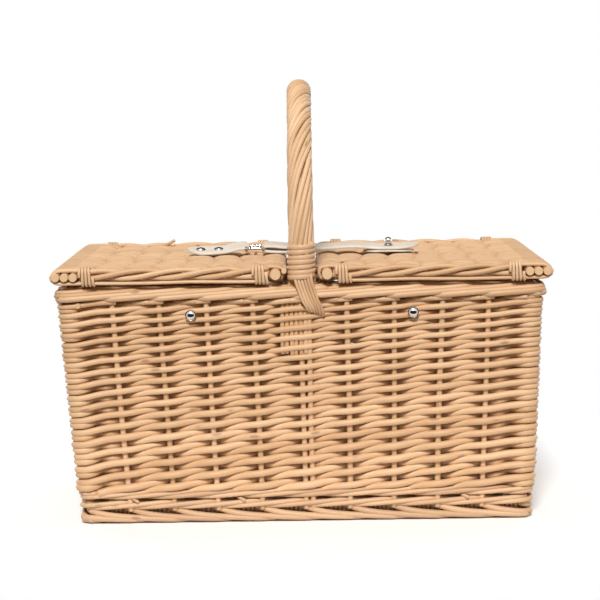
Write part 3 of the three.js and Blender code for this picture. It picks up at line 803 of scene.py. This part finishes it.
def lid_weave(sign, side):
    weave = Bundle(f"{side}_lid_rods")
    rows = int(2 * LID_HALF_DEPTH / LID_ROD_PITCH)
    for j in range(rows + 1):
        y = (j - rows / 2) * LID_ROD_PITCH
        near_loop = any(abs(y - row) < 8.5 for row in LOOP_ROWS[side])
        radius = LID_ROD_RADIUS * (1 + weave.jitter(0.09))
        weave.rod(lid_weaver(sign, j, y, near_loop), radius, 6)
    if side == "left":
        # The end of a weaver that has worked loose near the back edge.
        weave.rod(smooth_path([(-152, 112, 240.5), (-142, 124, 242.6), (-134, 133, 246.0)], 3), 1.7)
    # The lid rods take the darkened willow, which is painted shade on the lids' tops.
    weave.piece(f"{side}_lid", SHADED_LID_WILLOW, [f"{side}_lid_weave"], "willow_weave")


def lid_stick(sign, side, name, x, radius, half, replaces=()):
    """One of a lid's sticks, which run from front to back, half long each way."""
    rods = Bundle(f"{side}_lid_{name}")
    bend = rods.jitter(0.4)
    path = [(sign * x + bend * math.sin(y / 60), y, LID_Z) for y in np.linspace(-half, half, 16)]
    rods.rod(path, radius, 20)
    rods.piece(f"{side}_lid", WILLOW, replaces, "willow_stick")


def lid_sticks(sign, side):
    for i, x in enumerate(OUTER_STICKS):
        replaced = [f"{side}_lid_outer_stick_{i + 1}"]
        lid_stick(sign, side, f"end_rod_{i + 1}", x, 4.0, 149.2, replaced)
    lid_stick(sign, side, "hinge_rod", HINGE_X, 5.0, 149.4, [f"{side}_lid_inner_stick"])
    for i, x in enumerate(LID_STICKS[1:7]):
        lid_stick(sign, side, f"cross_rod_{i + 1}", x, 3.2, 138.0)


def packing_rod():
    """A short rod pushed in between the left lid's hinge rod and the handle."""
    spare = Bundle("left_lid_packing_rod")
    spare.rod(smooth_path([(-16.1, -148.6, 238.4), (-16.1, -106, 238.4)], 6), 2.5, 14)
    spare.piece("left_lid", WILLOW, slot="willow_stick")


def lid_edge(sign, side, name, turn):
    """A three-rod rope along one edge, over two rods that run round the lid's end and under it."""
    edge = Bundle(f"{side}_lid_{name}_edge_rods")
    strands, lay = 3, 112
    for start in range(strands):
        path = []
        for x in np.arange(31, 204.1, 4.0):
            # Strands rise to the right as seen from outside.
            a = 2 * math.pi * (-turn * sign * x / lay + start / strands) + 0.6 * sign
            y = turn * (EDGE_Y + 0.2 + 2.8 * math.cos(a))
            path.append((sign * x, y, LID_Z + 1.9 + 3.6 * math.sin(a)))
        edge.rod(path, 2.45 * (1 + edge.jitter(0.06)))
    outline = [(202, 5.9), (214, 6.0), (226, 5.2), (231.4, 0), (227, -5.4), (214, -5.9), (198, -5.8)]
    outline += [(150, -6.2), (100, -5.5), (60, -6.1), (34, -6.0)]
    for y, radius in ((EDGE_Y + 1.6, 1.6), (138.6, 2.0)):
        rod = smooth_path([(sign * x, turn * y, LID_Z + z) for x, z in outline], 4)
        edge.rod(rod, radius * (1 + edge.jitter(0.06)))
    edge.piece(f"{side}_lid", WILLOW, [f"{side}_lid_{name}_edge"], "willow_weave")


def lid_binding(sign, side, name, turn, spot, x):
    """Four turns of split willow round the edge rods, as a coil on a rounded box."""
    node = f"{side}_lid_{name}_binding_{spot}"
    coil = Bundle(f"{node}_skein")
    turns, per_turn, pitch, squareness = 4, 28, 3.1, 0.55
    path, normals = [], []
    for i in range(turns * per_turn + 1):
        a = i / per_turn * 2 * math.pi
        c, s = math.cos(a), math.sin(a)
        depth = 6.6 * math.copysign(abs(c) ** squareness, c)
        height = 8.0 * math.copysign(abs(s) ** squareness, s)
        along = (i / per_turn - turns / 2) * pitch * (1 - 0.12 * s) - 1.0 * s
        path.append((sign * x + along, turn * (143.6 + depth), LID_Z + 0.2 + height))
        normals.append((0, turn * c, s))
    coil.rod(path, 1.4, 8, normals, thickness=2.5)
    coil.piece(f"{side}_lid", SKEIN_WILLOW, [node], "willow_skein")


# ======== The strap and the metal ========


def ribbon(name, line, half_width, thickness=STRAP_THICKNESS, tilt=STRAP_TILT):
    """A leather strap along line, a list of (x, z), with a half-width for each x and rounded
    edges. tilt is how many degrees it leans to the front."""
    line = smooth_path([(x, 0, z) for x, z in line], 2.2)
    tangents = tangents_of(line)
    ups = np.stack([-tangents[:, 2], np.zeros(len(line)), tangents[:, 0]], axis=1)
    half = thickness / 2
    lean = math.radians(tilt)
    section = [(-1, -0.45), (-0.96, -0.95), (-0.5, -1), (0, -1), (0.5, -1), (0.96, -0.95), (1, -0.45)]
    section += [(1, 0.45), (0.96, 0.95), (0.5, 1), (0, 1), (-0.5, 1), (-0.96, 0.95), (-1, 0.45)]
    points, faces = [], []
    for p, up in zip(line, ups):
        width = half_width(p[0])
        for side, lift in section:
            spot = p + up * (lift * half)
            reach = side * width
            points.append((spot[0], STRAP_Y + reach * math.cos(lean), spot[2] + reach * math.sin(lean)))
    count = len(section)
    for i in range(len(line) - 1):
        for j in range(count):
            k = (j + 1) % count
            faces.append((i * count + j, i * count + k, (i + 1) * count + k, (i + 1) * count + j))
    faces.append(tuple(reversed(range(count))))
    last = (len(line) - 1) * count
    faces.append(tuple(last + j for j in range(count)))
    obj = mesh_object(name, points, faces, LEATHER)
    obj.data.set_sharp_from_angle(angle=math.radians(50))
    return obj


def pointed(tip, shoulder):
    """A half-width that narrows to a rounded point between shoulder and tip."""

    def width(x):
        share = (x - tip) / (shoulder - tip)
        return STRAP_HALF_WIDTH * min(1.0, 0.16 + 0.98 * max(0.0, share) ** 0.62)

    return width


def buckle_chape():
    """The short pointed strap that folds round the buckle's left side."""
    top, z = LID_TOP, STRAP_Z
    line = [(-112, top + 4.6), (-104, top + 3.6), (-94, top + 3.2), (-84, top + 3.6), (-74, top + 4.4)]
    line += [(-62, z + 1.2), (-55, z + 1.6), (-52.6, z), (-54.6, z - 1.3)]
    chape = ribbon("strap_chape", line, pointed(-112.5, -96), tilt=CHAPE_TILT)
    place(chape, "left_lid", ["buckle_chape"], "leather")


def on_strap(x):
    """A point on the strap's middle, in metres."""
    return (x * MM, STRAP_Y * MM, STRAP_Z * MM)


def strap():
    """The strap from its fold round the buckle, over both lids, to its buttoned end."""
    z = STRAP_Z
    line = [(-34.5, z - 2.0), (-37.4, z - 1.2), (-37.6, z + 1.2), (-34, z + 2.4), (-26, z + 2.2)]
    line += [(-14, z + 0.8), (0, z)]
    left = ribbon("strap_over_left_lid", line, lambda x: STRAP_HALF_WIDTH)
    line = [(-35.0, z - 2.0), (-30, z - 2.8), (-22, z - 3.2), (-15, z - 3.3), (-11, z - 2.9)]
    under = ribbon("strap_return", line, lambda x: STRAP_HALF_WIDTH - 0.5)
    line = [(0, z), (10, z - 0.1), (20, z - 0.5), (27, z - 0.3)]
    right = ribbon("strap_over_right_lid", line, lambda x: STRAP_HALF_WIDTH)
    line = [(27, z - 0.3), (34, z + 0.2), (44, z + 0.8), (54, z + 0.9), (64, z + 0.2), (76, z - 0.7)]
    line += [(92, z - 0.9), (104, z - 0.2), (116, z + 0.9)]
    tail = ribbon("strap_tail", line, pointed(116.6, 101))
    cut_hole(tail, BALL_X, 4.9)
    place(left, None, ["strap_left", "strap_centre"], "leather")
    place(under, "left_lid", slot="leather")
    place(right, None, ["strap_right"], "leather")
    place(tail, None, ["strap_end"], "leather")
    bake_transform(left)
    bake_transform(right)
    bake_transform(tail)


def stud_patch():
    """The leather oval under the ball stud."""
    reach = 25

    def width(x):
        share = max(0.0, (reach - abs(x - BALL_X)) / 14)
        return 14.5 * min(1.0, 0.22 + 0.9 * share**0.7)

    line = [(BALL_X - reach, LID_TOP + 0.9), (BALL_X, LID_TOP + 1.2), (BALL_X + reach, LID_TOP + 0.9)]
    patch = ribbon("strap_patch", line, width, 1.8, tilt=0.0)
    place(patch, "right_lid", ["stud_patch"], "leather")


def cut_hole(obj, x, radius):
    """A round hole through the strap."""
    bpy.ops.mesh.primitive_cylinder_add(
        vertices=32, radius=radius * MM, depth=0.02, location=on_strap(x)
    )
    tool = bpy.context.object
    cut = obj.modifiers.new("button_hole", "BOOLEAN")
    cut.operation = "DIFFERENCE"
    cut.solver = "EXACT"
    cut.object = tool
    graph = bpy.context.evaluated_depsgraph_get()
    mesh = bpy.data.meshes.new_from_object(obj.evaluated_get(graph))
    obj.modifiers.clear()
    obj.data = mesh
    bpy.data.objects.remove(tool)


def chape_rivets():
    head = 4.4  # from the lid's top to the head's underside
    profile = [(0, -4), (1.5, -4), (1.5, head), (4.9, head), (4.9, head + 0.4), (4.3, head + 1.0)]
    profile += [(3.2, head + 0.9), (2.9, head + 1.3), (1.8, head + 2.1), (0, head + 2.4)]
    lean = math.radians(CHAPE_TILT)
    axis = (0, -math.sin(lean), math.cos(lean))
    for i, x in enumerate(CHAPE_RIVETS):
        rivet = turned(f"chape_rivet_dome_{i + 1}", profile, (x, STRAP_Y, LID_TOP), axis)
        place(rivet, "left_lid", [f"chape_rivet_{i + 1}"], "nickel")


def ball_stud():
    """A washer under the lid, a flange over the patch and a ball on a neck."""
    low, neck = LID_Z - 9.2, LID_TOP + 3.4
    profile = [(0, low - 1.2), (4.2, low - 1.2), (4.2, low), (1.5, low), (1.5, neck - 1.0)]
    profile += [(4.6, neck - 1.0), (4.6, neck), (2.2, neck + 0.6), (1.9, neck + 2.4)]
    for degrees in np.linspace(-58, 90, 15):
        a = math.radians(degrees)
        profile.append((BALL_RADIUS * math.cos(a), BALL_Z + BALL_RADIUS * math.sin(a)))
    profile[-1] = (0, BALL_Z + BALL_RADIUS)
    stud = turned("ball_stud_turning", profile, (BALL_X, STRAP_Y, 0))
    place(stud, "right_lid", ["ball_stud"], "nickel")


def wall_studs():
    """Domes on the front wall, on pins through to the leather loops inside."""
    outside = wall_spot(FRONT_MIDDLE, STUD_Z)[1] - 7.0
    dome = [(4.6 * math.sin(a), 3.0 * math.cos(a)) for a in np.linspace(0.12, 1.35, 9)]
    profile = [(0, 3.0), *dome, (4.9, 0.8), (5.1, 0.3), (4.9, -0.3), (1.5, -0.4), (1.5, -16.5)]
    profile += [(3.5, -16.5), (3.5, -17.6), (0, -17.6)]
    profile.reverse()
    for sign, side in SIDES:
        spot = (sign * STUD_X, outside, STUD_Z)
        stud = turned(f"wall_stud_dome_{side}", profile, spot, (0, -1, 0))
        place(stud, "basket", [f"wall_stud_{side}"], "nickel")


def buckle():
    """A wire frame with rounded corners, and a bar across its middle."""
    wire = Bundle("buckle_wire")
    x0, x1, y0, y1 = -54.6, -36.4, STRAP_Y - 15.4, STRAP_Y + 15.4
    ring = [(x0, y0), (x1, y0), (x1, y1), (x0, y1)]
    path = []
    for (x, y), (next_x, next_y) in zip(ring, ring[1:] + ring[:1]):
        for t in np.linspace(0.12, 0.88, 8):
            path.append((x + (next_x - x) * t, y + (next_y - y) * t, STRAP_Z))
    path += path[:3]
    wire.rod(smooth_path(path, 1.5), 1.35, 12)
    middle = (x0 + x1) / 2
    wire.rod(smooth_path([(middle, y0, STRAP_Z), (middle, y1, STRAP_Z)], 3), 1.25, 12)
    wire.piece("left_lid", NICKEL, ["buckle_frame"], "nickel")


def inner_leather():
    for _, side in SIDES:
        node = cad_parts[f"glass_loop_{side}"]
        node.data.materials.clear()
        node.data.materials.append(LEATHER)


# ======== The studio ========


def area_light(name, spot, target, size, power):
    light = bpy.data.lights.new(name, "AREA")
    light.shape = "RECTANGLE"
    light.size, light.size_y = size
    light.energy = power
    lamp = bpy.data.objects.new(name, light)
    lamp.location = spot
    lamp.rotation_euler = (Vector(target) - Vector(spot)).to_track_quat("-Z", "Y").to_euler()
    bpy.context.collection.objects.link(lamp)


def sun_light(name, towards, power, spread):
    light = bpy.data.lights.new(name, "SUN")
    light.energy = power
    light.angle = math.radians(spread)
    lamp = bpy.data.objects.new(name, light)
    lamp.rotation_euler = Vector(towards).to_track_quat("Z", "Y").to_euler()
    bpy.context.collection.objects.link(lamp)


def lights():
    sun_light("key", (-0.14, -1.95, 1.75), 3.5, 14)
    area_light("fill", (1.5, -2.2, 1.0), (0, 0, 0.15), (1.4, 1.2), 3)
    for side in (-1, 1):
        area_light(f"back_{side}", (side * 1.5, 1.9, 0.55), (0, 0, 0.12), (1.2, 0.8), 13)
    area_light("top", (0.0, 0.2, 2.2), (0, 0, 0.2), (1.4, 1.4), 9.5)


def dark_card(name, half_width, near, far, felt):
    """A black card between two edges, given as (y, z). It shows only in what is polished, and
    gives the metal its dark reflections."""
    corners = [(-half_width, *near), (half_width, *near), (half_width, *far), (-half_width, *far)]
    card = mesh_object(f"studio_card_{name}", corners, [(0, 1, 2, 3)], felt, smooth=False)
    card.visible_camera = False
    card.visible_diffuse = False
    card.visible_shadow = False


def floor_and_cards():
    rim = []
    for a in np.linspace(0, 2 * math.pi, 96)[:-1]:
        rim.append((550 * math.cos(a), 40 + 470 * math.sin(a), 0))
    sheet = paper("studio_paper", (0.965, 0.985, 1.0, 1))
    floor = mesh_object("studio_floor", rim, [tuple(range(len(rim)))], sheet, smooth=False)
    felt = paper("studio_felt", (0.02, 0.02, 0.02, 1))
    dark_card("front", 2100, (-1200, -570), (-1200, 600), felt)
    dark_card("top", 1500, (0, 1500), (1600, 1500), felt)
    dark_card("back", 1500, (1600, 1500), (1600, 500), felt)


def surroundings():
    """White to the camera and in reflections, and a faint warm light on everything else."""
    world = bpy.data.worlds.new("studio")
    world.use_nodes = True
    tree = world.node_tree
    seen = tree.nodes["Background"]
    seen.inputs["Color"].default_value = (1, 1, 1, 1)
    lighting = tree.nodes.new("ShaderNodeBackground")
    lighting.inputs["Color"].default_value = (1, 0.87, 0.72, 1)
    lighting.inputs["Strength"].default_value = 0.12
    ray = tree.nodes.new("ShaderNodeLightPath")
    either = tree.nodes.new("ShaderNodeMath")
    either.operation = "MAXIMUM"
    tree.links.new(ray.outputs["Is Camera Ray"], either.inputs[0])
    tree.links.new(ray.outputs["Is Glossy Ray"], either.inputs[1])
    mixed = tree.nodes.new("ShaderNodeMixShader")
    tree.links.new(either.outputs[0], mixed.inputs[0])
    tree.links.new(lighting.outputs[0], mixed.inputs[1])
    tree.links.new(seen.outputs[0], mixed.inputs[2])
    tree.links.new(mixed.outputs[0], tree.nodes["World Output"].inputs["Surface"])
    bpy.context.scene.world = world
    bpy.context.scene.view_settings.view_transform = "Standard"


def camera():
    data = bpy.data.cameras.new("camera")
    data.sensor_width = 36
    data.lens = CAMERA_LENS
    cam = bpy.data.objects.new("camera", data)
    cam.location = CAMERA_SPOT
    pan = Matrix.Rotation(math.radians(CAMERA_PAN), 4, "Z")
    tilt = Matrix.Rotation(math.pi / 2 - math.radians(CAMERA_DOWN), 4, "X")
    roll = Matrix.Rotation(math.radians(CAMERA_ROLL), 4, "Z")
    cam.rotation_euler = (pan @ tilt @ roll).to_euler()
    bpy.context.collection.objects.link(cam)
    bpy.context.scene.camera = cam


side_weave()
stakes()
corner_posts()
lower_wale()
foot_border()
base()
top_border()
handle_rope()
handle_bow()
handle_tails()
for end, end_sign in ENDS:
    handle_wrap(end, end_sign)
    handle_tie(end, end_sign)
crossbar()
for lid_sign, lid_side in SIDES:
    for loop_row, loop_y in zip(("front", "back"), LOOP_ROWS[lid_side]):
        hinge_loop(lid_sign, lid_side, loop_row, loop_y)
for lid_sign, lid_side in SIDES:
    lid_weave(lid_sign, lid_side)
    lid_sticks(lid_sign, lid_side)
    if lid_side == "left":
        packing_rod()
    for end, end_sign in ENDS:
        lid_edge(lid_sign, lid_side, end, end_sign)
    for end, end_sign in ENDS:
        for binding, binding_x in BINDINGS.items():
            lid_binding(lid_sign, lid_side, end, end_sign, binding, binding_x)
buckle_chape()
strap()
stud_patch()
chape_rivets()
ball_stud()
wall_studs()
buckle()
inner_leather()
floor_and_cards()
surroundings()
lights()
camera()
